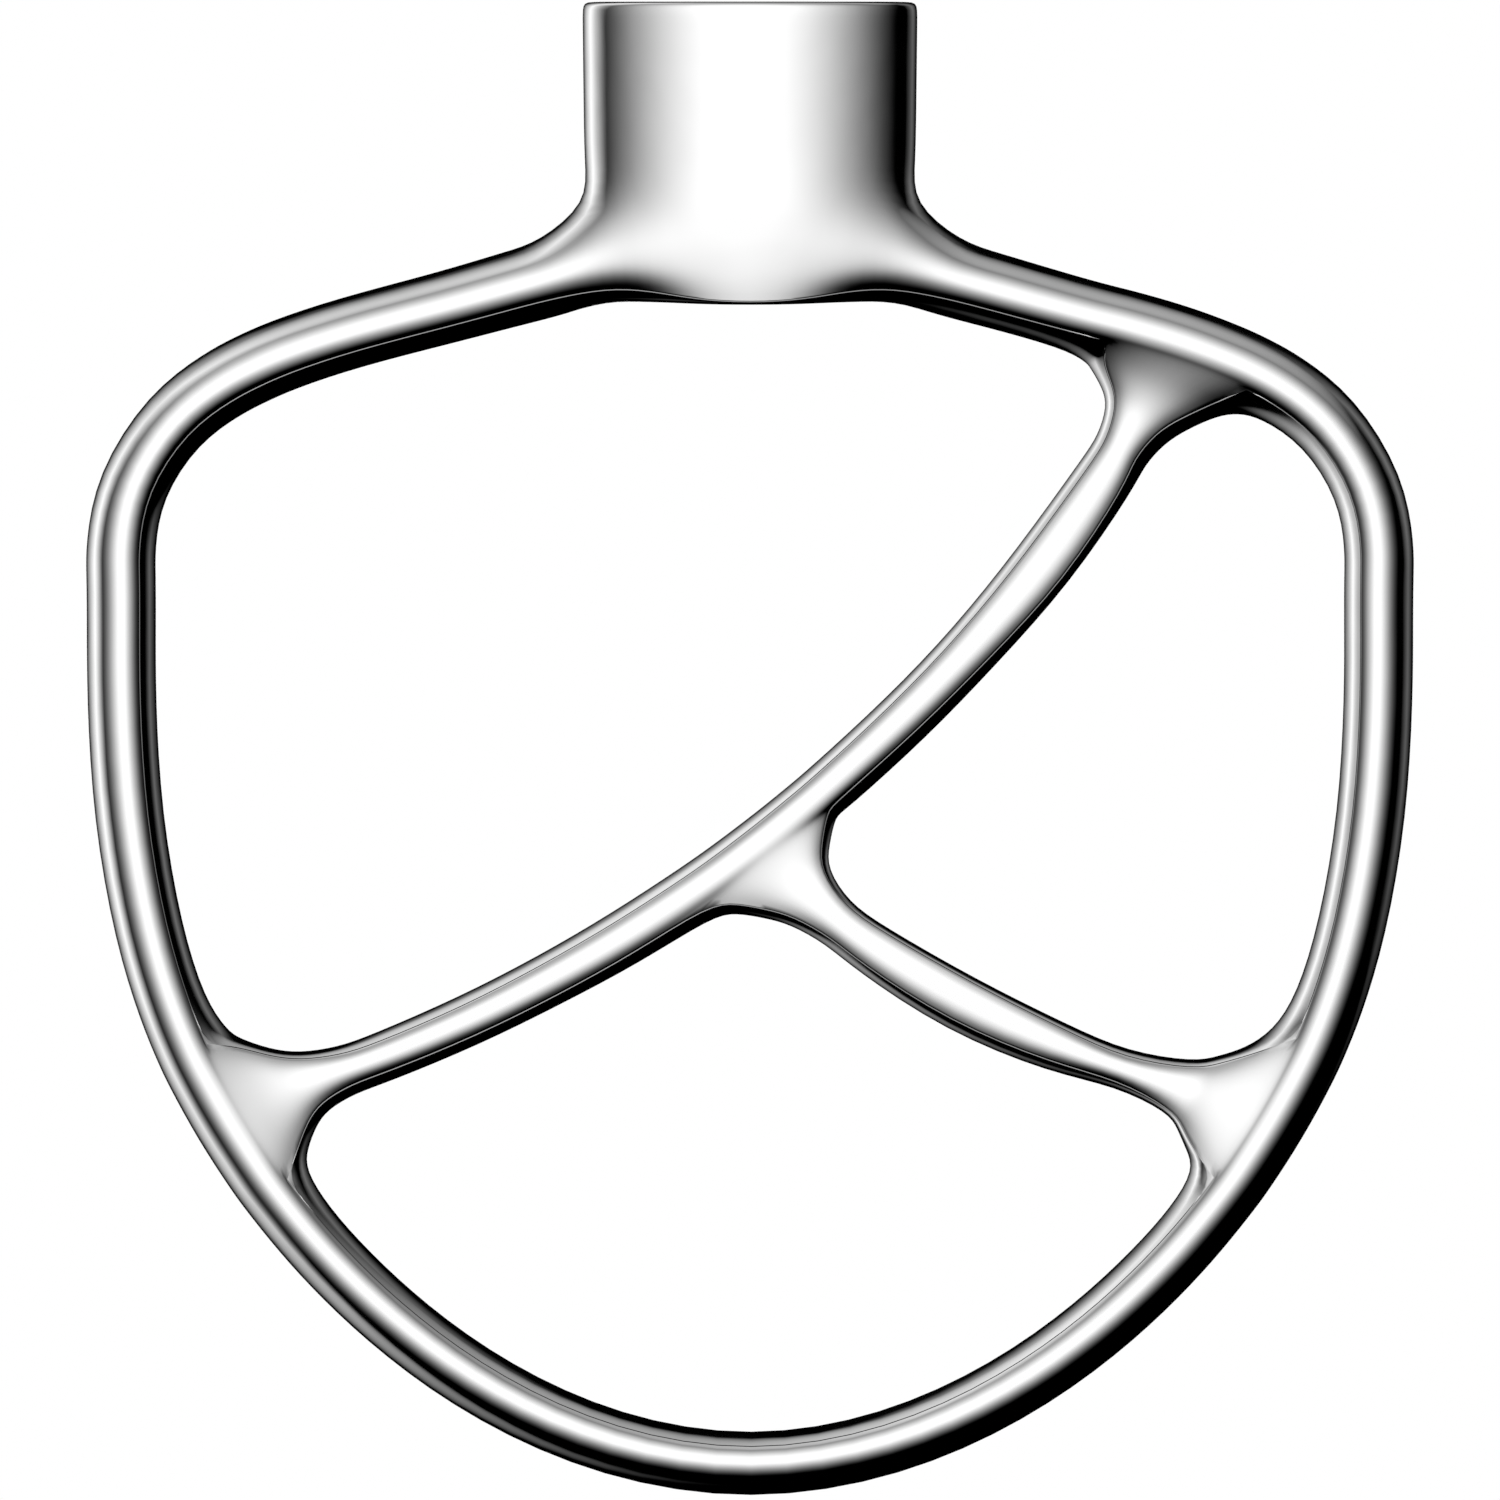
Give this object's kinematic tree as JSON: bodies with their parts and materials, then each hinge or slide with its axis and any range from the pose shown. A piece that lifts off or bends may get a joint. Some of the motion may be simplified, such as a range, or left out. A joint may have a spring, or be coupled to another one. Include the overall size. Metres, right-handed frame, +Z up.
{
  "type": "stand mixer flat beater",
  "caption": "Flat beater for a stand mixer: an oval bar bent into a bowl-shaped loop under a socket hub, with a curved diagonal rib and a branch rib, cast in one piece.",
  "frame": {"origin": "centre of the drive socket's mouth on the hub's flat top", "axes": "+Z up along the socket and the mixer's shaft, +X across the beater, -Y towards the front face"},
  "size_m": [0.128, 0.0322, 0.144],
  "materials": {
    "polished_steel": "cast stainless steel, polished to a mirror, not plated"
  },
  "bodies": {
    "root": {"flat_beater": "polished_steel"}
  },
  "joints": []
}
